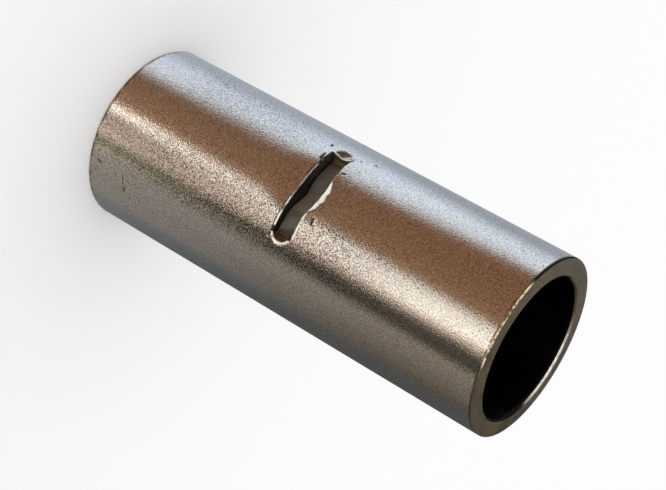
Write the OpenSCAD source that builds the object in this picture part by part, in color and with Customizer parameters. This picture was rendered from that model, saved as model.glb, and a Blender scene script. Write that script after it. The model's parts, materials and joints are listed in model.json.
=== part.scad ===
// Butt-splice sleeve: a short length of tinned copper tube, cut square at both ends.
// Halfway along, two parallel cuts free a narrow strip of the wall, which is pressed into the bore
// and stays part of the tube at both of its ends. It stops the wire that enters from either side.
// The sleeve stands on one end, centred on Z, with the stop facing -Y.

/* [Tube] */
// Length from end to end
sleeve_length = 25; // [16:0.5:60]
// Outside diameter
outer_d = 9.8; // [8:0.1:14]
// Thickness of the wall
wall = 1; // [0.7:0.05:1.5]

/* [Ends] */
// Round on the outer edge of each end
rim_round = 0.12; // [0.05:0.01:0.3]
// Bevel on the inner edge of each end
mouth_bevel = 0.18; // [0.05:0.01:0.4]

/* [Wire stop] */
// Distance of the stop above mid-length
stop_offset = 0.1; // [-3:0.1:3]
// Width of the strip along the tube
strip_width = 1.05; // [0.8:0.05:2]
// Angle that the two cuts span around the tube
cut_angle = 64; // [44:1:90]
// How far the middle of the strip is pressed below the tube's surface
press_depth = 0.9; // [0.5:0.05:1.3]
// How much pressing flattens the strip: its outer radius less the tube's
flattening = 1.6; // [0:0.1:4]
// How far each end of the strip leans in on its way down
ramp_run = 0.4; // [0.2:0.05:0.8]
// Opening that shearing leaves on each side of the strip
shear_gap = 0.04; // [0.02:0.01:0.15]

/* [Drawn edges] */
// Round that the press draws on the edge of the cut above the strip
roll_above = 0.5; // [0.1:0.05:0.6]
// Round that the press draws on the edge of the cut below the strip
roll_below = 0.3; // [0.1:0.05:0.6]
// Depth of the dished shoulder at each end of the strip
shoulder_depth = 0.17; // [0.08:0.01:0.3]

/* [Bore at the stop] */
// How far pressing the stop necks the bore
neck_depth = 0.03; // [0.02:0.01:0.1]
// Length of the necked stretch
neck_length = 3; // [2:0.1:5]

/* [Hidden] */
$fn = 96;
tin = [0.74, 0.72, 0.69];

outer_r = outer_d / 2;
bore_r = outer_r - wall;
stop_z = sleeve_length / 2 + stop_offset;
slot_width = strip_width + 2 * shear_gap;
strip_wall = wall;

// The stop is drawn facing +X, in plan, and turned to -Y once it is whole.
cut_end = outer_r * [cos(cut_angle / 2), sin(cut_angle / 2)];
crown_r = outer_r + flattening;
crown_x = outer_r - press_depth - crown_r;
foot_y = cut_end.y - ramp_run;
foot = [crown_x + sqrt(crown_r ^ 2 - foot_y ^ 2), foot_y];
ramp = (cut_end - foot) / norm(cut_end - foot);
into_metal = [-ramp.y, ramp.x];
inner_foot = foot + strip_wall * into_metal;

// Dish whose rim is as wide as the slot
shoulder_r = ((slot_width / 2) ^ 2 + shoulder_depth ^ 2) / (2 * shoulder_depth);

function mirrored(p) = [p.x, -p.y];

// Tube with rounded outer edges and bevelled mouths, its bore drawn in a little at the stop
module tube() {
    rotate_extrude()
        difference() {
            translate([bore_r - neck_depth, 0])
                square([wall + neck_depth, sleeve_length]);
            bore_profile();
            rim_corner();
            translate([0, sleeve_length])
                mirror([0, 1])
                    rim_corner();
        }
}

// Half section of the open bore, from one mouth to the other
module bore_profile() {
    mouth_r = bore_r + mouth_bevel;
    polygon([
        [0, 0],
        [mouth_r, 0],
        [bore_r, mouth_bevel],
        [bore_r, stop_z - neck_length / 2],
        [bore_r - neck_depth, stop_z],
        [bore_r, stop_z + neck_length / 2],
        [bore_r, sleeve_length - mouth_bevel],
        [mouth_r, sleeve_length],
        [0, sleeve_length]
    ]);
}

// What the round takes off the lower outer corner of the section
module rim_corner() {
    translate([outer_r - rim_round, 0])
        difference() {
            square(rim_round);
            translate([0, rim_round])
                circle(rim_round);
        }
}

// Space between two ramps that lean apart, each from low to high, and straight outwards from there
module between_ramps(low, high) {
    outside = [outer_d, high.y];
    polygon([low, high, outside, mirrored(outside), mirrored(high), mirrored(low)]);
}

// Plan of the hollow above the strip, down to its crowned outer face
module hollow_plan() {
    difference() {
        between_ramps(foot, cut_end + wall * ramp);
        translate([crown_x, 0])
            circle(crown_r);
    }
}

// Plan of the strip's back, which stands out of the wall into the bore
module strip_back_plan() {
    intersection() {
        circle(bore_r + wall / 2);
        difference() {
            between_ramps(inner_foot - 2 * wall * ramp, inner_foot + wall * ramp);
            translate([crown_x, 0])
                circle(crown_r - strip_wall);
        }
    }
}

// Plan of a cut: a wedge from the axis to beyond the wall
module cut_plan() {
    polygon([[0, 0], 2 * cut_end, mirrored(2 * cut_end)]);
}

// A plan drawn out along the tube, centred on the stop
module at_stop(width) {
    translate([0, 0, stop_z - width / 2])
        linear_extrude(width)
            children();
}

// The two sheared openings beside the strip
module shear_cuts() {
    difference() {
        at_stop(slot_width)
            cut_plan();
        at_stop(strip_width)
            circle(outer_d);
    }
}

// What a round takes off the middle of a cut's edge. It runs out where the tube curves away.
module drawn_edge(r) {
    rotate([90, 0, 0])
        linear_extrude(2 * cut_end.y, center = true)
            translate([outer_r - r, slot_width / 2])
                difference() {
                    square([2 * r, r]);
                    translate([0, r])
                        circle(r);
                }
}

// Both drawn edges, in place
module drawn_edges() {
    translate([0, 0, stop_z]) {
        drawn_edge(roll_above);
        mirror([0, 0, 1])
            drawn_edge(roll_below);
    }
}

// The dished shoulders where the strip leaves the tube's surface
module shoulders() {
    for (side = [-1, 1])
        rotate([0, 0, side * cut_angle / 2])
            translate([outer_r + shoulder_r - shoulder_depth, 0, stop_z])
                sphere(shoulder_r);
}

// Sleeve, with its stop turned to face -Y
module splice_sleeve() {
    color(tin)
        rotate([0, 0, -90])
            difference() {
                union() {
                    tube();
                    at_stop(strip_width)
                        strip_back_plan();
                }
                at_stop(slot_width)
                    hollow_plan();
                shear_cuts();
                drawn_edges();
                shoulders();
            }
}

splice_sleeve();
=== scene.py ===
# %% [markdown]
# # A tinned splice sleeve
#
# The real object is one short length of copper tube, coated with tin and cut square at both ends. Halfway
# along, a press has sheared a narrow strip of the wall and pushed it into the bore, where it stops the
# wires. The solid model gives the true sizes. This lesson dresses it: a mesh with drawn edges, a torn
# slot and a bore, and finishes for the tin skin, the raw cuts and the dark inside.

# %% Load the solid model
import json
import math

import bmesh
import bpy
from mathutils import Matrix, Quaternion, Vector, noise


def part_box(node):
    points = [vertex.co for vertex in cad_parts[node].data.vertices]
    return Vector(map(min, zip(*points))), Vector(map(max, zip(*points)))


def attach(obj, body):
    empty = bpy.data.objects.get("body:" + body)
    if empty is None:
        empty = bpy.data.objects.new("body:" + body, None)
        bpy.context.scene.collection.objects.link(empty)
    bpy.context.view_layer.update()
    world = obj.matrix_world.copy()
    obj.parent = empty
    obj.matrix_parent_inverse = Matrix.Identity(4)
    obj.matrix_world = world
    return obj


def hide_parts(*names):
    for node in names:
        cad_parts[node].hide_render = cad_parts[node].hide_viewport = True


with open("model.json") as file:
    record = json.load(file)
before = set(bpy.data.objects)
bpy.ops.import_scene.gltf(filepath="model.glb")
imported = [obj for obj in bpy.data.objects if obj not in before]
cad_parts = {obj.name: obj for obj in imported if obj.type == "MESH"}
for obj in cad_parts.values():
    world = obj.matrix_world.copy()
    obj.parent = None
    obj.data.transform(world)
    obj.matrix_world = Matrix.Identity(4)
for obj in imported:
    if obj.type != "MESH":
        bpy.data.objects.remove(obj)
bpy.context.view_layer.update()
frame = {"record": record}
mm = 0.001
low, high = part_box("splice_sleeve")
outer_r = (high.x - low.x) / 2
length = high.z - low.z
entries = {mount["name"]: mount for mount in frame["record"]["mounts"]}
bore_r = entries["upper_wire_entry"]["dims"]["r_mm"] * mm
wall = outer_r - bore_r
print(f"tube {length / mm:.1f} mm long, {2 * outer_r / mm:.1f} mm outside, wall {wall / mm:.2f} mm")

# %% [markdown]
# ## The camera
#
# The tube stands on its end here, but the photograph shows it lying across the picture. The same view is
# had by walking round the standing tube and tipping the camera on its side: azimuth and elevation say
# where it stands, and the roll turns the picture. A long lens keeps the two ends nearly the same width.

# %% Place the camera
view_azimuth = math.radians(16.73)
view_elevation = math.radians(26.84)
view_roll = math.radians(119.63)
view_distance = 90.5 * mm
view_aim = Vector((0.32, 0.28, 12.84)) * mm
to_camera = Vector((
    math.sin(view_azimuth) * math.cos(view_elevation),
    -math.cos(view_azimuth) * math.cos(view_elevation),
    math.sin(view_elevation),
))
bpy.ops.object.select_all(action="DESELECT")
bpy.ops.object.camera_add(location=view_aim + view_distance * to_camera)
camera = bpy.context.object
camera.data.sensor_width = 36
camera.data.lens = 95.2
camera.data.clip_start = 1 * mm
camera.data.clip_end = 5
upright = (-to_camera).to_track_quat("-Z", "Y")
camera.rotation_euler = (upright @ Quaternion((0, 0, 1), view_roll)).to_euler()
bpy.context.scene.camera = camera
bpy.context.scene.view_settings.view_transform = "Standard"
print("camera at", [round(c / mm, 1) for c in camera.location], "mm")

# %% [markdown]
# ## Floor and light
#
# A pale floor under an even white sky is the plainest studio there is. The sky's strength of about 1
# makes a colour come out as it is written.

# %% Lay the floor and light it
def flat_material(name, colour, emission=0.0):
    """A plain matt or glowing finish for what stands around the object."""
    material = bpy.data.materials.new(name)
    material.use_nodes = True
    shader = material.node_tree.nodes["Principled BSDF"]
    shader.inputs["Base Color"].default_value = (*colour, 1)
    shader.inputs["Roughness"].default_value = 0.9
    shader.inputs["Specular IOR Level"].default_value = 0.0
    if emission:
        shader.inputs["Base Color"].default_value = (0, 0, 0, 1)
        shader.inputs["Emission Color"].default_value = (*colour, 1)
        shader.inputs["Emission Strength"].default_value = emission
    return material


bpy.ops.object.select_all(action="DESELECT")
bpy.ops.mesh.primitive_plane_add(size=1.2)
floor = bpy.context.object
floor.name = "floor"
floor.data.materials.append(flat_material("pale_floor", (0.93, 0.93, 0.93)))

world = bpy.data.worlds.new("even_sky")
world.use_nodes = True
world.node_tree.nodes["Background"].inputs["Color"].default_value = (1, 1, 1, 1)
world.node_tree.nodes["Background"].inputs["Strength"].default_value = 1.05
bpy.context.scene.world = world
print("floor and sky ready")

# %% [markdown]
# ## What the metal mirrors
#
# Bright metal has little colour of its own: it shows what is around it. In the photograph the tube
# mirrors a cool window, something brown, a warm lamp, a dark gap and a grey table, as bands along its
# length. A standing tube seen from above mirrors what is low around it, so coloured cards below the
# floor, with a wall at their far edge, make the same bands. Each corner of a card is given by where the
# camera sees it on the tube: the angle round the wall, counted from the side that faces the camera, and
# the height. The law of mirrors gives its place, because the ray leaves at twice that angle.

# %% Find a mirrored place
facing = math.atan2(camera.location.x, -camera.location.y)
camera_reach = math.hypot(camera.location.x, camera.location.y) - outer_r
card_drop = 35 * mm


def round_the_tube(angle):
    """Level direction at an angle round the tube from the side that faces the camera."""
    turn = facing + math.radians(angle)
    return Vector((math.sin(turn), -math.cos(turn), 0))


def mirrored_spot(angle, height):
    """The place at the cards' level that the camera sees in the wall at this angle and height in mm."""
    height = height * mm
    reach = (height + card_drop) * camera_reach / (camera.location.z - height)
    spot = outer_r * round_the_tube(angle) + reach * round_the_tube(2 * angle)
    spot.z = -card_drop
    return spot


front_spot = mirrored_spot(0, length / 2 / mm)
print(f"the tube's front mirrors a spot {front_spot.xy.length / mm:.0f} mm out")

# %% [markdown]
# ## The window
#
# A card is a row of faces between a left and a right edge. Each edge is a list of angles, one for each of
# the same heights, and the last face stands up as a wall. The card glows in the colours painted on its
# corners, and its upper part may be tinted. Only reflections see it, so it neither shows nor lights the
# floor. The first cards make the cool window, which gets dimmer towards the tube's outline.

# %% Lay the cool window
card_heights = (-8, 6, 10, 15, 20, 25, 47)
tint_above = 16
untinted = (1, 1, 1)
wall_height = 2.5


def all_along(value):
    """The same value at every height of a card."""
    return (value,) * len(card_heights)


def only_mirrored(card):
    """Hides a card from everything but reflections."""
    card.visible_camera = False
    card.visible_diffuse = False
    card.visible_shadow = False


def lay_card(name, colour, left, right, left_glow, right_glow, right_colour=None, high_tint=untinted):
    """A glowing card that only reflections see, between two edges given height by height."""
    corners = []
    glows = []
    for k, height in enumerate(card_heights):
        corners += [mirrored_spot(left[k], height), mirrored_spot(right[k], height)]
        tint = high_tint if height > tint_above else untinted
        for strength, hue in ((left_glow[k], colour), (right_glow[k], right_colour or colour)):
            glows.append([strength * part * shift for part, shift in zip(hue, tint)])
    corners += [corner + Vector((0, 0, wall_height)) for corner in corners[-2:]]
    glows += glows[-2:]
    faces = [(2 * k, 2 * k + 1, 2 * k + 3, 2 * k + 2) for k in range(len(card_heights))]
    card_mesh = bpy.data.meshes.new(name)
    card_mesh.from_pydata(corners, [], faces)
    paint = card_mesh.color_attributes.new("glow", "FLOAT_COLOR", "POINT")
    for point, glow in zip(paint.data, glows):
        point.color = (*glow, 1)
    material = flat_material(name, colour, 1.0)
    painted_glow = material.node_tree.nodes.new("ShaderNodeVertexColor")
    painted_glow.layer_name = "glow"
    shader = material.node_tree.nodes["Principled BSDF"]
    material.node_tree.links.new(painted_glow.outputs["Color"], shader.inputs["Emission Color"])
    card_mesh.materials.append(material)
    card = bpy.data.objects.new(name, card_mesh)
    bpy.context.scene.collection.objects.link(card)
    only_mirrored(card)


even = all_along(1)
corner_end = all_along(-66)
corner_glow = all_along(0.56)
window_start = all_along(-53)
window_edge = (-40, -37.5, -39.5, -39, -41.5, -44.5, -44.5)
window_glow = (1.0, 1.0, 1.05, 1.2, 1.17, 1.17, 1.17)
lay_card("cool_corner", (0.86, 0.93, 1.03), all_along(-95), corner_end, all_along(0.52), corner_glow,
         high_tint=(0.91, 0.9, 0.89))
lay_card("cool_slope", (0.85, 0.94, 1.08), corner_end, window_start, corner_glow, window_glow,
         high_tint=(0.98, 0.97, 0.93))
lay_card("cool_window", (0.84, 0.94, 1.08), window_start, window_edge, window_glow, even,
         right_colour=(0.89, 0.93, 0.96), high_tint=(0.98, 0.98, 0.93))
print("window laid in cards of", len(card_heights), "faces")

# %% [markdown]
# ## The brown wall and the lamp
#
# A narrow card leads from the window's colour to the brown one. The wall's other edge and the lamp's
# width change with the height, as their bands do in the photograph.

# %% Lay the brown wall and the lamp
brown = (0.25, 0.134, 0.077)
wall_edge = (-29.5, -30.5, -35.5, -33.5, -36.5, -39.5, -39.5)
lamp_edge = (-6.4, -3.6, 1.2, -4.2, -1.2, 0, 0.5)
lamp_end = (-1.2, -0.4, 3.0, 11.5, 12.6, 13, 13.5)
lay_card("window_side", (0.87, 0.90, 0.92), window_edge, wall_edge, even, even, right_colour=brown)
lay_card("brown_wall", brown, wall_edge, lamp_edge, even, (2.7, 2.0, 1.35, 1.5, 1.4, 1.4, 1.4),
         right_colour=(0.245, 0.141, 0.079), high_tint=(1.05, 0.96, 0.91))
lay_card("warm_lamp", (1.15, 1.03, 0.88), lamp_edge, lamp_end,
         (1.8, 2.05, 2.3, 0.76, 0.82, 0.92, 0.92), (1.8, 2.05, 2.3, 0.66, 1.55, 1.6, 1.6))
print(f"lamp laid from {min(lamp_edge)} to {max(lamp_end)} degrees")

# %% [markdown]
# ## The slats
#
# Grainy metal sparkles where light and dark lie close together. The next two cards are therefore laid in
# slats that are brighter and dimmer by turns, most of all low down.

# %% Lay the slats
slat_depth = (0.55, 0.6, 0.5, 0.1, 0, 0, 0)
gap_edge = (15, 14.5, 15, 17, 18, 18.5, 19)
gap_end = (26, 26, 27, 28.5, 29, 29.5, 29.5)


def part_way(first, second, share):
    """Values that lie a share of the way from the first ones to the second ones."""
    return tuple(start + share * (stop - start) for start, stop in zip(first, second))


def lay_slats(name, colour, left, right, left_glow, right_glow, count, high_tint=untinted):
    """A card in slats that are brighter and dimmer by turns."""
    for k in range(count):
        turn = -1 if k % 2 else 1
        edges = []
        glows = []
        for share in (k / count, (k + 1) / count):
            edges.append(part_way(left, right, share))
            plain_glow = part_way(left_glow, right_glow, share)
            glows.append([glow * (1 + turn * depth) for glow, depth in zip(plain_glow, slat_depth)])
        lay_card(f"{name}_{k}", colour, *edges, *glows, high_tint=high_tint)


lay_slats("rose_card", (0.55, 0.41, 0.32), lamp_end, gap_edge,
          (1.15, 0.6, 1.8, 2.0, 2.0, 2.15, 2.15), (2.1, 1.1, 1.75, 0.56, 0.45, 0.45, 0.45), count=5)
lay_slats("dark_gap", (0.10, 0.084, 0.058), gap_edge, gap_end,
          (4.6, 1.6, 0.9, 0.95, 0.92, 0.96, 0.96), (6.9, 3.4, 0.95, 0.62, 0.62, 0.62, 0.62), count=3,
          high_tint=(1.0, 1.0, 1.1))
print(f"slats laid up to {max(gap_end)} degrees")

# %% [markdown]
# ## The table
#
# Two dim cards make the grey table on the right, and a pale disc fills the hole that the cards leave
# under the tube. The floor is hidden from reflections, or it would cover them.

# %% Lay the table
table_edge = all_along(58)
middle_r = 34 * mm
lay_card("grey_table", (0.305, 0.272, 0.232), gap_end, table_edge,
         (1.5, 1.2, 1.1, 1.15, 1.15, 1.1, 1.1), (1.05, 0.95, 0.8, 0.54, 0.42, 0.36, 0.36),
         high_tint=(0.96, 0.88, 0.79))
lay_card("dim_table", (0.205, 0.213, 0.212), table_edge, all_along(95),
         (1.4, 1.05, 0.84, 0.66, 0.55, 0.52, 0.52), (1.45, 0.9, 0.6, 0.45, 0.36, 0.33, 0.33),
         high_tint=(1.05, 1.0, 0.94))
bpy.ops.object.select_all(action="DESELECT")
bpy.ops.mesh.primitive_circle_add(
    vertices=64, radius=middle_r, fill_type="NGON", location=(0, 0, -card_drop - mm))
bpy.context.object.name = "pale_middle"
bpy.context.object.data.materials.append(flat_material("pale_middle", (1.0, 0.94, 0.86), 1.0))
only_mirrored(bpy.context.object)
floor.visible_glossy = False
print(f"table laid round a disc of {middle_r / mm:.0f} mm radius")

# %% [markdown]
# ## The tube's skin
#
# The tube is first only its outer skin: a cylinder with no caps. The fine work is all round the slot, so
# the columns of the front are moved to half their angle from it, and those behind are spread out.

# %% Draw the skin
columns = 360
front_half = 120


def slot_angle(point):
    """Angle round the tube from the middle of the slot, which faces -Y."""
    return math.atan2(point.x, -point.y)


bpy.ops.object.select_all(action="DESELECT")
bpy.ops.mesh.primitive_cylinder_add(
    vertices=columns, radius=outer_r, depth=length, end_fill_type="NOTHING", location=(0, 0, length / 2))
sleeve = bpy.context.object
sleeve.name = "tinned_sleeve"
bpy.ops.object.transform_apply(location=True, rotation=False, scale=False)
for vertex in sleeve.data.vertices:
    turn = math.degrees(slot_angle(vertex.co))
    in_front = min(abs(turn), front_half)
    behind = max(abs(turn) - front_half, 0)
    crowded = math.radians(math.copysign(in_front / 2 + behind * 2, turn))
    vertex.co.x = outer_r * math.sin(crowded)
    vertex.co.y = -outer_r * math.cos(crowded)
print(columns, "columns round the tube")

# %% [markdown]
# ## Rows for the press
#
# The press needs loops of edges to work on. Level planes cut the skin across at exact heights, closest
# together at the two edges of the slot. A few more cut it at the ends and where it will be scratched.

# %% Cut the rows
stop_z = length / 2 + 0.1 * mm
slot_width = 1.13 * mm
slot_low = stop_z - slot_width / 2
slot_high = stop_z + slot_width / 2
first_step = 0.012 * mm
step_growth = 1.28
fine_reach = 3 * mm
plain_from = 4 * mm
end_insets = (0.13 * mm, 0.2 * mm)
# In millimetres: the first height, the step and the count.
scratch_rows = ((0.5, 0.08, 6), (2.34, 0.04, 11))
# In millimetres from the middle of the slot.
nick_heights = (-1.03, -0.8, 0.87, 1.2, 1.6)
nick_step = 0.035

rows = [slot_low, slot_high]
step = first_step
away = 0.0
while away < fine_reach:
    away += step
    step *= step_growth
    rows += [slot_low - away, slot_high + away]
    if away < slot_width / 2:
        rows += [slot_low + away, slot_high - away]
rows += [k * mm for k in range(1, round(length / mm)) if abs(k * mm - stop_z) > plain_from]
for inset in end_insets:
    rows += [inset, length - inset]
for first, apart, count in scratch_rows:
    rows += [(first + k * apart) * mm for k in range(count)]
for height in nick_heights:
    rows += [stop_z + (height + k * nick_step) * mm for k in range(-2, 3)]

bpy.ops.object.mode_set(mode="EDIT")
for row in sorted(rows):
    bpy.ops.mesh.select_all(action="SELECT")
    bpy.ops.mesh.bisect(plane_co=(0, 0, row), plane_no=(0, 0, 1), threshold=1e-7)
bpy.ops.object.mode_set(mode="OBJECT")
print(len(rows), "rows,", len(sleeve.data.polygons), "faces in the skin")

# %% [markdown]
# ## The lance cuts
#
# A lanced strip is cut free along its two long sides and left whole at its ends. Edge Split does just
# that: it parts the mesh along the chosen edges and leaves their end points joined. The strip's faces get
# a material slot of their own first, by which they are found again later.

# %% Split the strip free
SKIN, CUT, BORE, STRIP, STRIP_CUT, STRIP_BACK, END = range(7)
cut_half_angle = math.radians(32)
tiny = 1e-6


def select_edges(wanted):
    """Goes into edit mode with just those edges selected whose two end points are wanted."""
    bpy.ops.object.mode_set(mode="EDIT")
    bpy.ops.mesh.select_mode(type="EDGE")
    bpy.ops.mesh.select_all(action="DESELECT")
    mesh = bmesh.from_edit_mesh(sleeve.data)
    for edge in mesh.edges:
        edge.select_set(all(wanted(vertex.co) for vertex in edge.verts))
    bmesh.update_edit_mesh(sleeve.data)


def on_a_cut(point):
    """Whether a point lies on one of the strip's two long sides."""
    at_side = abs(abs(point.z - stop_z) - slot_width / 2) < tiny
    return at_side and abs(slot_angle(point)) < cut_half_angle + tiny


for name in ("tin_skin", "raw_cut", "dark_bore", "pressed_strip", "strip_side", "strip_back", "sawn_end"):
    sleeve.data.materials.append(bpy.data.materials.new(name))
for face in sleeve.data.polygons:
    if abs(face.center.z - stop_z) < slot_width / 2 and abs(slot_angle(face.center)) < cut_half_angle:
        face.material_index = STRIP
select_edges(on_a_cut)
bpy.ops.mesh.edge_split()
bpy.ops.object.mode_set(mode="OBJECT")
print(len(sleeve.data.vertices), "points with the strip cut free")

# %% [markdown]
# ## The wall
#
# Solidify gives the skin its wall, inwards, and closes the cuts with faces. Its material offsets put the
# raw cuts and the inside into slots of their own, for the tube and for the strip.

# %% Thicken the wall
thicken = sleeve.modifiers.new("wall", "SOLIDIFY")
thicken.thickness = wall
thicken.offset = -1
thicken.use_even_offset = True
thicken.material_offset = BORE - SKIN
thicken.material_offset_rim = CUT - SKIN
bpy.ops.object.modifier_apply(modifier=thicken.name)
print(len(sleeve.data.polygons), "faces in the wall")

# %% [markdown]
# ## Round rims
#
# A saw leaves a sharp edge that handling soon rounds off. In edit mode the outer rim of each end gets a
# small round, and the inner one a wider, straight bevel, where the mouth was broken for the wire. All
# that faces the end then gets the slot of the sawn metal.

# %% Round the rims
rim_round = 0.08 * mm
mouth_bevel = 0.15 * mm
mouth_segments = 3
end_lean = 0.1


def at_an_end(point):
    """Whether a point lies in the plane of one of the two ends."""
    return min(point.z, length - point.z) < tiny


def bevel_rim(radius, width, segments, profile):
    """Bevels the edge loops of that radius at both ends of the tube."""
    def on_the_rim(point):
        return at_an_end(point) and abs(math.hypot(point.x, point.y) - radius) < 10 * tiny

    select_edges(on_the_rim)
    bpy.ops.mesh.bevel(offset=width, segments=segments, affect="EDGES", profile=profile, clamp_overlap=True)
    bpy.ops.object.mode_set(mode="OBJECT")


bevel_rim(outer_r, rim_round, segments=4, profile=0.5)
bevel_rim(bore_r, mouth_bevel, segments=mouth_segments, profile=0.25)
for face in sleeve.data.polygons:
    if min(face.center.z, length - face.center.z) < mouth_bevel and abs(face.normal.z) > end_lean:
        face.material_index = END
print(len(sleeve.data.polygons), "faces with round rims")

# %% [markdown]
# ## Leaning mouths
#
# The tool that broke the mouths leaned to one side: there the bevel is wider and the mouth is opened a
# little. All round, the bevel is less deep than wide. The bore of a drawn tube is seldom quite in the
# middle. All this only moves points, so formulas do it. An arc is given by its middle, half and fade.

# %% Open the mouths
mouth_depth = 0.1 * mm
wide_gain = 0.4
wide_arc = (-165, 30, 20)
flare_out = 0.1 * mm
flare_arc = (185, 40, 25)
bore_shift = Vector((0.045, 0.023, 0)) * mm
flat_part = mouth_bevel / mouth_segments


def smooth(share):
    """Runs from 0 to 1 with no corner at either end."""
    share = min(1.0, max(0.0, share))
    return share * share * (3 - 2 * share)


def rise(value, start, run):
    """0 up to the start, and 1 from one run further on."""
    return smooth((value - start) / run)


def fall(value, end, run):
    """1 until one run before the end, and 0 from the end on."""
    return smooth((end - value) / run)


def within(angle, middle, half, fade):
    """1 in an arc that reaches half degrees either side of its middle, and 0 from fade degrees beyond."""
    apart = abs((math.degrees(angle) - middle + 180) % 360 - 180)
    return fall(apart, half + fade, fade)


def mouth_width(angle):
    """How many times wider than elsewhere the mouth's bevel is at an angle."""
    return 1 + wide_gain * within(angle, *wide_arc)


def mouth_flare(angle):
    """How far the mouth is opened at an angle."""
    return flare_out * within(angle, *flare_arc)


for vertex in sleeve.data.vertices:
    point = vertex.co
    radius = math.hypot(point.x, point.y)
    if radius < bore_r + mouth_bevel + tiny:
        sunk = min(point.z, length - point.z)
        if sunk < mouth_bevel + tiny:
            wider = mouth_width(slot_angle(point))
            flare = mouth_flare(slot_angle(point))
            deep = max(0.0, sunk - flat_part) * mouth_depth / (mouth_bevel - flat_part)
            point.z = deep if point.z < length / 2 else length - deep
            point.xy *= (bore_r + (radius - bore_r) * wider + flare) / radius
        point += bore_shift
print(f"bore set {bore_shift.length / mm:.2f} mm off centre")

# %% [markdown]
# ## Clean ends
#
# The edges in the two end planes are marked sharp, so that smooth shading keeps the sawn faces flat.
# Points near the ends that fell together are merged.

# %% Clean the ends
select_edges(at_an_end)
bpy.ops.mesh.mark_sharp()
bpy.ops.mesh.select_mode(type="VERT")
bpy.ops.mesh.select_all(action="DESELECT")
end_mesh = bmesh.from_edit_mesh(sleeve.data)
for vertex in end_mesh.verts:
    vertex.select_set(min(vertex.co.z, length - vertex.co.z) < mouth_bevel)
bmesh.update_edit_mesh(sleeve.data)
bpy.ops.mesh.remove_doubles(threshold=tiny)
bpy.ops.object.mode_set(mode="OBJECT")
print(len(sleeve.data.polygons), "faces with clean ends")

# %% [markdown]
# ## Where each point lies
#
# The press, the scratches, the wear and the painted light and shade all ask where a point lay on the plain
# tube. That is written down before the press moves anything: the angle round the tube, the distance along
# it from the middle of the slot, and whether the point is on the outside.

# %% Note the places
skin = sleeve.data.vertices
places = []
for vertex in skin:
    outside = math.hypot(vertex.co.x, vertex.co.y) > outer_r - tiny
    places.append((slot_angle(vertex.co), vertex.co.z - stop_z, outside))
strip_points = set()
for face in sleeve.data.polygons:
    if STRIP <= face.material_index <= STRIP_BACK:
        strip_points.update(face.vertices)
print(len(strip_points), "of", len(places), "points are the strip's")

# %% [markdown]
# ## Pressing the strip
#
# A press moves each point of the metal by an amount that depends on where it lies, so this step is a
# few formulas over the points. The strip drops along the punch's path to a crowned floor, with a ramp
# at each end. It did not go down evenly: the tip of the punch dented it deeper at its middle, and it
# stayed higher towards one end.

# %% Press the strip
strip_width = 1.05 * mm
press_depth = 0.9 * mm
crown_r = outer_r + 1.6 * mm
ramp_run = 0.4 * mm
edge_round = 0.05 * mm
cut_end = outer_r * math.sin(cut_half_angle)
dent_depth = 0.32 * mm
dent_middle = -0.05 * mm
dent_reach = 0.6 * mm
dent_lift = 0.13 * mm
high_end = 0.2 * mm
high_from = 0.5 * mm
full_press = 0.3 * mm


def hump(distance, reach):
    """1 at the middle of a soft hump and near 0 beyond twice its reach."""
    return math.exp(-(distance / reach) ** 2)


def round_drop(distance, radius):
    """How far a rounded edge has fallen at this distance from its corner."""
    short = min(radius, max(0.0, radius - distance))
    return radius - math.sqrt(radius ** 2 - short ** 2)


def strip_drop(across):
    """How far the strip lies below the tube's surface, at a distance across from its middle."""
    surface = math.sqrt(outer_r ** 2 - across ** 2)
    crown = outer_r - press_depth - crown_r + math.sqrt(crown_r ** 2 - across ** 2)
    dent = dent_depth * hump(across - dent_middle, dent_reach) - dent_lift
    dent -= high_end * rise(across, high_from, mm)
    lean = min(1.0, max(0.0, (cut_end - abs(across)) / ramp_run))
    slope = lean * (2 - lean) * (1 if across > 0 else smooth(4 * lean))
    return (surface - crown + dent) * slope


for number in strip_points:
    angle, along, outside = places[number]
    sunk = strip_drop(outer_r * math.sin(angle))
    pressed = smooth(sunk / full_press)
    if outside:
        sunk += round_drop(slot_width / 2 - abs(along), edge_round) * pressed
    skin[number].co.y += sunk
    skin[number].co.z -= along * (1 - strip_width / slot_width) * pressed
print(f"strip pressed {strip_drop(0) / mm:.2f} mm deep at its middle")

# %% [markdown]
# ## The edges of the slot
#
# The metal beside the strip was drawn along with it, so both edges of the slot are dished, the lower one
# deeper. The upper edge is also torn back a little, and the punch struck a ragged half-round facet on it.

# %% Draw the edges
# Depth of the dish beside a cut, and its reach along the tube and across it.
dish_below = (0.16 * mm, 0.8 * mm, 1.2 * mm)
dish_above = (0.1 * mm, 1.0 * mm, 1.5 * mm)
tear = 0.12 * mm
tear_middle = -0.4 * mm
tear_half = 1.7 * mm
tear_reach = 0.6 * mm
lip_width = 0.45 * mm
lip_half = 0.95 * mm
lip_tooth = 0.28 * mm
lip_slope = math.tan(math.radians(20))
drawn_reach = 5 * mm


def lip_drop(across, away):
    """How far the struck facet on the upper edge lies below the surface."""
    ragged = 1 + 0.2 * noise.noise(Vector((across / lip_tooth, 0, 0)))
    width = ragged * lip_width * math.sqrt(max(0.0, 1 - (across / lip_half) ** 2))
    return max(0.0, width - away) * lip_slope


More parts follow.
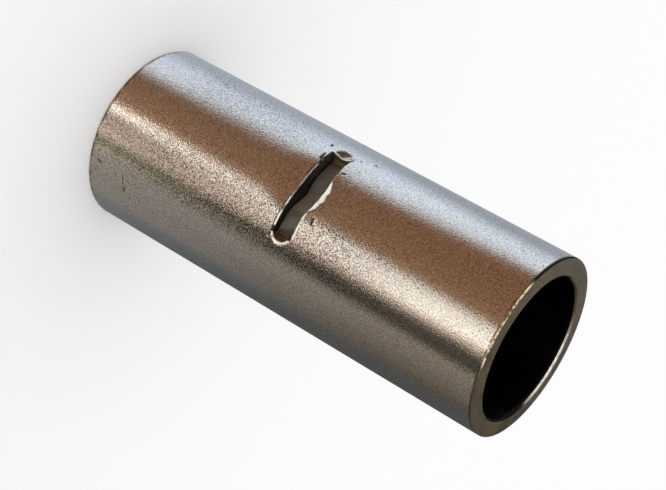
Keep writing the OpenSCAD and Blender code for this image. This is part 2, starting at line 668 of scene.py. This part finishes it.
for number, (angle, along, outside) in enumerate(places):
    near_slot = abs(angle) <= 2 * cut_half_angle and slot_width / 2 - tiny < abs(along) <= drawn_reach
    if not near_slot or number in strip_points:
        continue
    point = skin[number].co
    across = outer_r * math.sin(angle)
    away = max(0.0, abs(along) - slot_width / 2)
    depth, reach, spread = dish_above if along > 0 else dish_below
    point.y += depth * hump(away, reach) * hump(across, spread)
    if along > 0:
        bow = max(0.0, 1 - ((across - tear_middle) / tear_half) ** 2)
        point.z += tear * bow * max(0.0, 1 - away / tear_reach)
    if outside and abs(angle) < cut_half_angle:
        point.y += round_drop(away, edge_round if along < 0 else edge_round / 2)
        if along > 0:
            point.y += lip_drop(across, away)
print(f"upper edge struck {lip_drop(0, 0) / mm:.2f} mm deep")

# %% [markdown]
# ## The shoulders
#
# At each end of the strip the skin sinks into a small shoulder. Seen from the front, the left one is a
# soft dish with a thin step round it. The right one is a lopsided hollow with a flatter brim, each given
# by how far it reaches past the ends of the cuts.

# %% Sink the shoulders
shoulder_run = 0.54 * mm
step_depth = 0.03 * mm
step_share = 0.08
shoulder_depth = 0.2 * mm
shoulder_fade = 0.35 * mm
hollow_reach = 0.32 * mm
hollow_middle = -0.08 * mm
hollow_half = 0.485 * mm
hollow_slope = math.tan(math.radians(27))
brim_reach = 0.5 * mm
brim_middle = -0.05 * mm
brim_half = 0.62 * mm
brim_slope = math.tan(math.radians(13))


def shoulder_arcs(along):
    """How far the right shoulder's hollow and its brim reach past the cuts."""
    hollow = hollow_reach * (1 - abs((along - hollow_middle) / hollow_half) ** 3)
    brim = brim_reach * (1 - ((along - brim_middle) / brim_half) ** 2)
    return max(0.0, hollow), max(0.0, hollow, brim)


def shoulder_drop(angle, along):
    """How deep the shoulder is at this angle and distance along the tube."""
    beyond = outer_r * (abs(angle) - cut_half_angle)
    past = max(beyond, 0.0)
    if angle < 0:
        inward = max(0.0, 1 - math.hypot(past / shoulder_run, along / (slot_width / 2)))
        depth = step_depth * smooth(inward / step_share) + shoulder_depth * inward
    else:
        inner, outer = shoulder_arcs(along)
        depth = max(0.0, outer - max(past, inner)) * brim_slope
        depth += max(0.0, inner - past) * hollow_slope
    return depth * smooth(1 + min(beyond, 0.0) / shoulder_fade)


for number, (angle, along, outside) in enumerate(places):
    shoulder = shoulder_drop(angle, along) if outside else 0.0
    skin[number].co.x -= shoulder * math.sin(angle)
    skin[number].co.y += shoulder * math.cos(angle)
print(f"right shoulder sunk {shoulder_drop(cut_half_angle, 0) / mm:.2f} mm deep")

# %% [markdown]
# ## Scratches and unevenness
#
# Loose sleeves knock together in their box. Each nick or scratch is a short line on the skin, given by
# the height and angle of its first end, those of its second end, and half its width. Heights and widths
# are in millimetres, angles in degrees from the slot. Drawn tube is also never quite round, so the skin
# waves inwards by a few thousandths of a millimetre, and what it mirrors wavers.

# %% Scratch the skin
scratches = (
    (2.42, 49.5, 2.54, 59, 0.024),
    (2.68, 56, 2.58, 60, 0.026),
    (0.6, 48.3, 0.86, 49.2, 0.04),
    (11.8, -27, 11.84, -22, 0.06),
    (11.55, -37.8, 11.6, -36.2, 0.07),
    (13.14, -34.5, 13.2, -31.5, 0.04),
    (13.42, -19.4, 13.56, -19.8, 0.05),
    (13.46, -36.8, 13.5, -36.2, 0.04),
    (14.17, -40.5, 14.24, -39.5, 0.04),
    (11.9, 35, 12.0, 31.5, 0.04),
    (13.77, 13.2, 13.82, 17, 0.05),
)
scratch_sink = 0.02 * mm
unevenness = 0.008 * mm
wave_size = 3 * mm


def scratch_depth(angle, height):
    """Share of the full depth of the nearest scratch or nick at a place on the skin."""
    deepest = 0.0
    for from_height, from_angle, to_height, to_angle, half in scratches:
        first = Vector((from_height * mm, outer_r * math.radians(from_angle)))
        run = Vector((to_height * mm, outer_r * math.radians(to_angle))) - first
        here = Vector((height, outer_r * angle)) - first
        share = min(1.0, max(0.0, here.dot(run) / run.length_squared))
        apart = (here - share * run).length
        deepest = max(deepest, smooth(1.5 - apart / (half * mm)))
    return deepest


scratched = {}
for number, (angle, along, outside) in enumerate(places):
    if outside:
        point = skin[number].co
        depth = scratch_depth(angle, stop_z + along)
        if depth:
            scratched[number] = depth
        sunk = scratch_sink * depth + unevenness * (0.5 + 0.5 * noise.noise(point / wave_size))
        point.x -= sunk * math.sin(angle)
        point.y += sunk * math.cos(angle)
print(len(scratched), "points in scratches")

# %% [markdown]
# ## Highlights and shade at the ends
#
# Painted places differ from the skin around them in three ways, as three shares each: bright, as the strip
# rubbed by the punch and as painted highlights; dull, as tin drawn thin over the copper, as painted shade
# and, at the ends, as a painted gold highlight; and dark, as scratches, dark patches and painted shade.
# They follow the shape, so they are painted on its points. At the ends only the two edges are painted, in
# the arcs given here.

# %% Paint the ends
unworn = (0.0, 0.0, 0.0)
# Arcs of the upper rim's painted gold highlight and of its painted shade.
gold_highlight_arc = (12, 24, 6)
rim_shade_arc = (-42, 22, 8)
side_rim_shade_arc = (80, 32, 10)
# Arcs of the mouth bevel's painted gleam and of the arc where its painted shade is lighter.
gleam_arc = (-163, 22, 22)
lit_bevel_arc = (-112, 22, 20)


def patches(point, size, level, contrast):
    """Ragged patches about size metres across: 1 within them and 0 between them."""
    return smooth(level + contrast * noise.noise(point / size))


def rim_paint(point, angle):
    """The outer edge: dark patches all round, and at the upper end a painted gold highlight in front and
    painted shade in two arcs.
    """
    upper = 1.0 if point.z > length / 2 else 0.0
    highlit = upper * within(angle, *gold_highlight_arc)
    gold = highlit * patches(point, 0.14 * mm, 0.75, 1.7)
    rim_shade = upper * max(within(angle, *rim_shade_arc), 0.8 * within(angle, *side_rim_shade_arc))
    return 0.0, gold, max(rim_shade, 0.6 * patches(point, 0.35 * mm, 0.8, 1.6)) * (1 - highlit)


def mouth_gleam_and_shade(point, angle):
    """A painted gleam on the mouth's bevel where the tool leaned, and painted shade elsewhere, lighter in
    one arc.
    """
    bright = within(angle, *gleam_arc) * (0.45 + 0.55 * patches(point, 0.14 * mm, 0.8, 1.8))
    return bright, 0.0, (1 - bright) * (1 - 0.8 * within(angle, *lit_bevel_arc))


def end_paint(point, angle):
    """What is painted at an end: on its outer edge or its mouth, and nothing on the plain face between."""
    if math.hypot(point.x, point.y) > outer_r - 0.9 * rim_round:
        return rim_paint(point, angle)
    from_bore = math.hypot(point.x - bore_shift.x, point.y - bore_shift.y) - bore_r
    if from_bore < 0.8 * mouth_width(angle) * mouth_bevel + mouth_flare(angle):
        return mouth_gleam_and_shade(point, angle)
    return unworn


painted = {}
for number, (angle, along, outside) in enumerate(places):
    point = skin[number].co
    if min(point.z, length - point.z) < mouth_bevel + tiny:
        painted[number] = end_paint(point, angle)
print(len(painted), "points painted at the ends")

# %% [markdown]
# ## Wear and painted shade on the strip
#
# The punch rubbed the strip bright beside its dent. One ramp is olive, where the tin was drawn thin, and
# the other has painted shade behind a slanting line. Painted shade also darkens the strip's lower side and
# one place at its upper side.

# %% Paint the strip
rubbed_arc = (5, 4, 5)
olive_arc = (-30, 3, 5)
# The strip's painted shade: at one place of its upper side, along its lower side, and on the ramp behind a
# slanting line.
shaded_arc = (-13, 6, 5)
side_fade = 0.3 * mm
dark_from = 23


def strip_wear_and_shade(angle, along):
    """The pressed strip's polished band, olive ramp and painted shade."""
    below = 0.12 * rise(-along, 0.2 * mm, side_fade)
    above = 0.4 * within(angle, *shaded_arc) * rise(along, 0.1 * mm, side_fade)
    slanted = math.degrees(angle) + 4 * along / mm
    dark = max(below, above, rise(slanted, dark_from, 3))
    return 0.6 * within(angle, *rubbed_arc), within(angle, *olive_arc), dark


for number in strip_points:
    angle, along, outside = places[number]
    if outside:
        painted[number] = strip_wear_and_shade(angle, along)
print(len(painted), "points painted with the strip")

# %% [markdown]
# ## Painted light and shade at the shoulders
#
# The left shoulder is painted dull and dark inside, as shade in its dish, with painted glints on its step
# and a painted pale halo round it. The right one has a hollow painted dull and dark, as shade, and a
# painted highlight in a crescent on its brim. Coarse and fine patches, given by size, level and contrast,
# make these borders ragged, as torn metal is.

# %% Paint the shoulders
# Arc of the painted glints on the left shoulder's step.
step_glint_arc = (-33, 1.5, 2.5)
glint_arc = (-32, 0.8, 0.8)
coarse = (0.3 * mm, 0.9, 1.8)
fine = (0.13 * mm, 0.65, 1.6)
halo_depth = 0.035 * mm
paint_reach = 2 * mm


def left_shoulder_light_and_shade(point, angle, along, shoulder):
    """Painted shade inside the soft dish at the strip's left end, and painted highlights on its step and
    round it.
    """
    ragged = patches(point, *fine)
    step_glints = smooth(along / (0.4 * mm) + 0.4) * within(angle, *step_glint_arc)
    halo = 0.7 * patches(point, *coarse) * smooth(1.5 - shoulder / halo_depth)
    bright = max(ragged * max(within(angle, *glint_arc), step_glints), halo)
    dull = smooth(shoulder / (0.03 * mm) - 0.5) * (0.6 + 0.4 * ragged)
    return bright, dull, 0.7 * (1 - ragged) * smooth(shoulder / (0.04 * mm) - 0.5)


def right_shoulder_light_and_shade(point, angle, along, shoulder):
    """Painted shade in the hollow at the strip's right end, and a painted highlight on its brim."""
    ragged = patches(point, *fine)
    hollow = shoulder_arcs(along)[0]
    in_hollow = smooth((hollow - outer_r * (angle - cut_half_angle)) / (0.04 * mm))
    bright = smooth(shoulder / (0.02 * mm)) * (1 - in_hollow) * (0.35 + 0.65 * ragged)
    dull = max(in_hollow, 0.5 * (1 - ragged))
    return bright, dull, 0.6 * dull


at_slot = []
for number, (angle, along, outside) in enumerate(places):
    close = abs(angle) < 2 * cut_half_angle and abs(along) < paint_reach
    if not (outside and close) or number in strip_points:
        continue
    shoulder = shoulder_drop(angle, along)
    if shoulder:
        shoulder_paint = left_shoulder_light_and_shade if angle < 0 else right_shoulder_light_and_shade
        painted[number] = shoulder_paint(skin[number].co, angle, along, shoulder)
    elif abs(angle) < cut_half_angle:
        at_slot.append(number)
print(len(painted), "points painted with the shoulders")

# %% [markdown]
# ## Painted highlights at the edges
#
# The facet struck on the upper edge has a painted highlight, and so does a short stretch beside it; the
# skin beside the facet is drawn and a little olive. The lower edge has painted highlights along parts of
# it, with thin dark lines beside it and a dark corner.

# %% Paint the edges
drawn_arc = (0, 8, 4)
# Arcs of the painted highlights beside the slot, of the dark lines at its lower edge, and of a dark corner.
upper_glint_arc = (21, 9, 2)
line_arcs = ((-16, 8, 3), (21, 10, 2))
lower_glint_arc = (18, 10, 4)
faint_glint_arc = (-6, 14, 4)
dark_corner_arc = (-27, 8, 3)
line_away = 0.12 * mm


def close_to(distance, reach):
    """1 within the reach, and 0 from twice the reach on."""
    return smooth(2 - distance / reach)


def upper_edge_paint(point, angle, away):
    """Painted highlights on the skin above the slot, and its drawn olive tin."""
    ragged = patches(point, *fine)
    struck = smooth(lip_drop(outer_r * math.sin(angle), away) / (0.04 * mm))
    drawn_thin = (1 - struck) * within(angle, *drawn_arc) * smooth(2.2 - away / lip_width)
    glint = within(angle, *upper_glint_arc) * (0.4 + 0.6 * patches(point, *coarse))
    bright = max(struck * (0.75 + 0.25 * ragged), glint * close_to(away, 0.08 * mm))
    return bright, 0.6 * drawn_thin * (1 - ragged), 0.0


def lower_edge_paint(point, angle, away):
    """Painted highlights on the skin below the slot, with dark lines and a dark corner beside it."""
    patchy = patches(point, *coarse)
    edge_glint = max(within(angle, *lower_glint_arc), 0.35 * within(angle, *faint_glint_arc))
    bright = edge_glint * patchy * close_to(away, 0.05 * mm)
    lined = max(within(angle, *arc) for arc in line_arcs)
    darkening = lined * max(0.4, patchy) * close_to(abs(away - line_away), 0.025 * mm)
    return bright, 0.0, max(darkening, within(angle, *dark_corner_arc) * close_to(away, 0.06 * mm))


for number in at_slot:
    angle, along, outside = places[number]
    edge_paint = upper_edge_paint if along > 0 else lower_edge_paint
    painted[number] = edge_paint(skin[number].co, angle, abs(along) - slot_width / 2)
print(len(painted), "points painted with the edges")

# %% [markdown]
# ## Pitted tin
#
# Some of the tin is pitted, in bands along the tube: a strong one on the right, a weaker one low on the
# left, and a faint one in front. The wear, the painted light and shade, and the pits are now written to one
# colour attribute, a share in each of its channels, and the finishes mix them in later.

# %% Pit the tin and keep the wear
left_band = (-31, 12, 6)
front_band = (-3, 9, 6)
right_band = (30, 11, 8)


def pitting(angle, along):
    """How pitted the tin is, from 0 to 1."""
    height = stop_z + along
    left = 0.45 * within(angle, *left_band) * rise(height, 2 * mm, 2 * mm)
    left *= fall(height, 12 * mm, 3 * mm)
    spread = rise(along, -mm, 2 * mm)
    middle, half, fade = right_band
    right = within(angle, middle - 2 * spread, half + spread, fade)
    right *= 0.6 + 0.4 * rise(height, 2 * mm, 4 * mm)
    right *= fall(height, 21 * mm, 6 * mm)
    return max(left, right, 0.3 * within(angle, *front_band))


# Red: painted highlights and the strip's polish. Green: drawn tin, painted shade and a painted gold
# highlight. Blue: scratches, dark marks and painted shade.
wear_and_light = sleeve.data.color_attributes.new("wear_and_light", "FLOAT_COLOR", "POINT")
for number, (angle, along, outside) in enumerate(places):
    bright, dull, darkening = painted.get(number, unworn)
    darkened = max(darkening, scratched.get(number, 0.0))
    wear_and_light.data[number].color = (bright, dull, darkened, pitting(angle, along))
print("wear kept for", len(places), "points")

# %% [markdown]
# ## Shading
#
# Smooth shading with sharp edges only where the metal really turns hides the mesh's facets. The sleeve
# then takes the solid one's place.

# %% Shade the sleeve
bpy.ops.object.select_all(action="DESELECT")
sleeve.select_set(True)
bpy.context.view_layer.objects.active = sleeve
bpy.ops.object.shade_smooth_by_angle(angle=math.radians(35))
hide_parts("splice_sleeve")
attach(sleeve, "root")
print(sleeve.name, "shaded:", len(sleeve.data.polygons), "faces")

# %% [markdown]
# ## Lines in the bore
#
# The bore is dull and painted nearly black, as shade deep inside the tube, with faint lines along it from
# the drawing die. They are noise that is stretched along the tube, and bump turns the same noise into
# depth. All finishes start alike, as plain metal of one colour and roughness, and get their detail from
# nodes, in real sizes.

# %% Line the bore
def finish(name, colour, roughness):
    """The named metal finish with its colour and roughness set: its node tree and shader."""
    material = bpy.data.materials[name]
    material.use_nodes = True
    tree = material.node_tree
    shader = tree.nodes["Principled BSDF"]
    shader.inputs["Base Color"].default_value = (*colour, 1)
    shader.inputs["Metallic"].default_value = 1.0
    shader.inputs["Roughness"].default_value = roughness
    return tree, shader


def add_node(tree, kind, inputs):
    """A new node with its inputs set to plain values or linked to sockets."""
    node = tree.nodes.new("ShaderNode" + kind)
    for name, value in inputs.items():
        if isinstance(value, bpy.types.NodeSocket):
            tree.links.new(value, node.inputs[name])
        else:
            node.inputs[name].default_value = value
    return node


def piece_place(tree):
    """The piece's own coordinates."""
    return add_node(tree, "TexCoord", {}).outputs["Object"]


def add_noise(tree, size, detail, stretch=(1, 1, 1)):
    """Noise whose lumps are about size metres across, on the piece's own coordinates."""
    turn = add_node(tree, "Mapping", {"Vector": piece_place(tree), "Scale": stretch})
    lumps = add_node(tree, "TexNoise", {
        "Vector": turn.outputs["Vector"], "Scale": 1 / size, "Detail": detail, "Roughness": 0.65})
    return lumps.outputs["Fac"]


def add_bump(tree, shader, height, depth):
    """Bump of a real depth in metres, or of a depth that varies over the piece."""
    bump = add_node(tree, "Bump", {"Strength": 1.0, "Distance": depth, "Height": height})
    tree.links.new(bump.outputs["Normal"], shader.inputs["Normal"])


bores = []
# The bore and the strip's back are painted nearly black, as shade deep inside the tube.
for name in ("dark_bore", "strip_back"):
    tree, shader = finish(name, (0.008, 0.008, 0.009), 0.6)
    lines = add_noise(tree, 0.15 * mm, detail=3, stretch=(1, 1, 0.06))
    add_bump(tree, shader, lines, 0.01 * mm)
    bores.append((tree, shader, lines))
print(len(bores), "finishes lined")

# %% [markdown]
# ## Colour in the bore
#
# The lines also vary the bore's colour and gloss. Two helpers do that in every finish: one maps a range
# of values to another, and one blends colours or numbers.

# %% Colour the bore
def ramp(tree, value, from_low, from_high, to_low=0.0, to_high=1.0):
    """Maps a value smoothly from one range to another."""
    scale = add_node(tree, "MapRange", {
        "Value": value, "From Min": from_low, "From Max": from_high, "To Min": to_low, "To Max": to_high})
    scale.interpolation_type = "SMOOTHSTEP"
    return scale.outputs["Result"]


def blend(tree, share, first, second):
    """One input to another by a share: colours or plain numbers, or sockets that give them."""
    mix = tree.nodes.new("ShaderNodeMix")
    colour = isinstance(first, tuple) or isinstance(second, tuple)
    mix.data_type = "RGBA" if colour else "FLOAT"
    kind = "Color" if colour else "Float"
    ends = {socket.identifier: socket for socket in mix.inputs}
    for name, value in (("A_" + kind, first), ("B_" + kind, second)):
        if isinstance(value, bpy.types.NodeSocket):
            tree.links.new(value, ends[name])
        else:
            ends[name].default_value = (*value, 1) if colour else value
    tree.links.new(share, ends["Factor_Float"])
    return next(socket for socket in mix.outputs if socket.identifier == "Result_" + kind)


# The bore's painted shade: nearly black, varied by the lines.
for tree, shader, lines in bores:
    colour = blend(tree, ramp(tree, lines, 0.35, 0.65), (0.006, 0.006, 0.007), (0.011, 0.0105, 0.011))
    tree.links.new(colour, shader.inputs["Base Color"])
    tree.links.new(ramp(tree, lines, 0.3, 0.7, 0.52, 0.68), shader.inputs["Roughness"])
print(len(bores), "finishes coloured for the bore")

# %% [markdown]
# ## Raw cuts
#
# A shear leaves a coarse, dark face. Towards one end of the slot its colour turns paler, along the piece's
# own X axis, in patches.

# %% Finish the raw cuts
def piece_axes(tree):
    """The piece's own coordinates one by one."""
    return add_node(tree, "SeparateXYZ", {"Vector": piece_place(tree)}).outputs


def times(tree, first, second):
    """Product of two values."""
    product = add_node(tree, "Math", {0: first, 1: second})
    product.operation = "MULTIPLY"
    return product.outputs["Value"]


cut_names = ("raw_cut", "strip_side")
for name in cut_names:
    tree, shader = finish(name, (0.1, 0.102, 0.108), 0.5)
    paler_end = ramp(tree, piece_axes(tree)["X"], -1.1 * mm, -0.5 * mm, 1.0, 0.0)
    paler_end = times(tree, paler_end, ramp(tree, add_noise(tree, 0.3 * mm, detail=3), 0.3, 0.6, 0.5, 1.0))
    colour = blend(tree, paler_end, (0.085, 0.09, 0.1), (0.18, 0.168, 0.148))
    tree.links.new(colour, shader.inputs["Base Color"])
    add_bump(tree, shader, add_noise(tree, 0.12 * mm, detail=3), 0.02 * mm)
print(len(cut_names), "finishes set for the cuts")

# %% [markdown]
# ## Pressed strip
#
# The strip is matt and bluish grey, in soft clouds, painted darker than the skin as shade in its recess.
# The wear and the painted shade on its points are blended in by the attribute's channels.

# %% Finish the strip
def worn_and_lit_parts(tree):
    """What was painted on the points: Red is painted highlights and the punch's polish on the strip, Green
    drawn tin, painted shade and a painted gold highlight, Blue scratches, dark marks and painted shade, and
    Alpha pitting.
    """
    worn_and_lit = add_node(tree, "VertexColor", {})
    worn_and_lit.layer_name = "wear_and_light"
    parts = add_node(tree, "SeparateColor", {"Color": worn_and_lit.outputs["Color"]})
    return {**parts.outputs, "Alpha": worn_and_lit.outputs["Alpha"]}


tree, shader = finish("pressed_strip", (0.27, 0.27, 0.27), 0.75)
worn_and_lit = worn_and_lit_parts(tree)
cloud = ramp(tree, add_noise(tree, 0.5 * mm, detail=3), 0.35, 0.65)
# The strip's grey is darker than the skin's, as painted shade of its recess.
colour = blend(tree, cloud, (0.275, 0.315, 0.325), (0.345, 0.375, 0.37))
colour = blend(tree, worn_and_lit["Green"], colour, (0.27, 0.235, 0.165))
colour = blend(tree, worn_and_lit["Red"], colour, (0.62, 0.62, 0.60))
# Blue: the strip's painted shade.
colour = blend(tree, worn_and_lit["Blue"], colour, (0.19, 0.16, 0.15))
tree.links.new(colour, shader.inputs["Base Color"])
add_bump(tree, shader, add_noise(tree, 0.08 * mm, detail=2), 0.006 * mm)
print("strip finished with", len(tree.nodes), "nodes")

# %% [markdown]
# ## Sawn ends
#
# The sawn ends are brownish and cloudy, with fine dark specks. Their dark patches and painted shade are no
# metal, so they are matt, and the painted gold highlight on the edge is partly so. The mouth's painted
# gleam is pale and glossy.

# %% Finish the ends
tree, shader = finish("sawn_end", (0.3, 0.25, 0.15), 0.4)
shader.inputs["Specular IOR Level"].default_value = 0.0
worn_and_lit = worn_and_lit_parts(tree)
metal = blend(tree, worn_and_lit["Green"], ramp(tree, worn_and_lit["Blue"], 0, 1, 1.0, 0.0), 0.4)
tree.links.new(metal, shader.inputs["Metallic"])
cloud = ramp(tree, add_noise(tree, 1.6 * mm, detail=4), 0.35, 0.65)
colour = blend(tree, cloud, (0.27, 0.22, 0.135), (0.40, 0.32, 0.19))
specks = ramp(tree, add_noise(tree, 0.06 * mm, detail=1), 0.32, 0.48)
colour = blend(tree, specks, (0.18, 0.15, 0.10), colour)
# Blue: dark patches and painted shade. Green: the painted gold highlight. Red: the mouth's painted gleam.
colour = blend(tree, worn_and_lit["Blue"], colour, (0.012, 0.011, 0.01))
colour = blend(tree, worn_and_lit["Green"], colour, (0.97, 0.81, 0.54))
colour = blend(tree, worn_and_lit["Red"], colour, (0.95, 0.91, 0.82))
tree.links.new(colour, shader.inputs["Base Color"])
rough = blend(tree, worn_and_lit["Red"], ramp(tree, cloud, 0, 1, 0.36, 0.46), 0.22)
tree.links.new(rough, shader.inputs["Roughness"])
add_bump(tree, shader, add_noise(tree, 0.07 * mm, detail=2), 0.012 * mm)
print("ends finished with", len(tree.nodes), "nodes")

# %% [markdown]
# ## Colour of the tin skin
#
# The tin is a speckle of dark and pale grains, tinted greener and redder by turns. Dark pits lie in
# clusters all over it, and closer pocks where the pitted bands were painted. Painted highlights are pale
# and part metal, part matt, because a pure mirror would only show the brown and rose cards there. Drawn tin
# and painted shade are dark olive, and scratches, dark marks and more painted shade are nearly black.

# %% Colour the tin
def add_spots(tree, spacing, reach, share):
    """Scattered round spots about reach metres in radius, in a share of the cells they are drawn in."""
    cells = add_node(tree, "TexVoronoi", {"Vector": piece_place(tree), "Scale": 1 / spacing})
    chance = add_node(tree, "SeparateColor", {"Color": cells.outputs["Color"]})
    spot = ramp(tree, cells.outputs["Distance"], 0.5 * reach / spacing, reach / spacing, 1.0, 0.0)
    return times(tree, spot, ramp(tree, chance.outputs["Red"], share - 0.05, share + 0.05, 1.0, 0.0))


tree, shader = finish("tin_skin", (0.68, 0.655, 0.625), 0.24)
worn_and_lit = worn_and_lit_parts(tree)
cluster = ramp(tree, add_noise(tree, 2.5 * mm, detail=2), 0.48, 0.6)
pits = times(tree, add_spots(tree, 0.25 * mm, 0.05 * mm, 0.45), cluster)
pocks = times(tree, add_spots(tree, 0.2 * mm, 0.065 * mm, 0.5), worn_and_lit["Alpha"])
tint = ramp(tree, add_noise(tree, 1.2 * mm, detail=4), 0.3, 0.7)
dark_grain = blend(tree, tint, (0.43, 0.43, 0.40), (0.45, 0.40, 0.38))
pale_grain = blend(tree, tint, (0.87, 0.87, 0.80), (0.93, 0.84, 0.81))
dark_grain = blend(tree, worn_and_lit["Alpha"], dark_grain, (0.15, 0.135, 0.125))
speckle = add_noise(tree, 0.07 * mm, detail=1)
grain = blend(tree, worn_and_lit["Alpha"], ramp(tree, speckle, 0.25, 0.75), ramp(tree, speckle, 0.31, 0.67))
colour = blend(tree, grain, dark_grain, pale_grain)
colour = blend(tree, pocks, colour, (0.22, 0.20, 0.19))
colour = blend(tree, pits, colour, (0.08, 0.07, 0.06))
# Green: drawn tin and painted shade. Blue: scratches, dark marks and painted shade. Red: painted
# highlights, part matt.
colour = blend(tree, worn_and_lit["Green"], colour, (0.17, 0.13, 0.085))
colour = blend(tree, worn_and_lit["Blue"], colour, (0.03, 0.028, 0.025))
colour = blend(tree, worn_and_lit["Red"], colour, (0.93, 0.91, 0.86))
tree.links.new(colour, shader.inputs["Base Color"])
tree.links.new(blend(tree, worn_and_lit["Red"], 1.0, 0.45), shader.inputs["Metallic"])
print("tin coloured with", len(tree.nodes), "nodes")

# %% [markdown]
# ## Grain of the tin skin
#
# The tin is bright but never smooth: tiny grains tilt this way and that, so at the border of two
# mirrored bands they sparkle. The grains are bump from a fine noise, deepest in the lower half of the
# tube and shallower towards its upper end.

# %% Grain the tin
def away_from(tree, axis, middle):
    """Distance along one of the piece's own axes from a place on it."""
    apart = add_node(tree, "Math", {0: piece_axes(tree)[axis], 1: middle})
    apart.operation = "SUBTRACT"
    size = add_node(tree, "Math", {0: apart.outputs["Value"]})
    size.operation = "ABSOLUTE"
    return size.outputs["Value"]


rough = ramp(tree, add_noise(tree, 0.15 * mm, detail=3), 0.3, 0.7, 0.12, 0.2)
rough = blend(tree, pits, rough, 0.6)
rough = blend(tree, worn_and_lit["Green"], rough, 0.5)
tree.links.new(rough, shader.inputs["Roughness"])
grain_depth = ramp(tree, away_from(tree, "Z", 9 * mm), 4 * mm, 13 * mm, 0.0072 * mm, 0.0045 * mm)
add_bump(tree, shader, add_noise(tree, 0.062 * mm, detail=0), grain_depth)
print("tin finished with", len(tree.nodes), "nodes")

# %% [markdown]
# ## Closing
#

# %% Close the scene
print("scene closed")
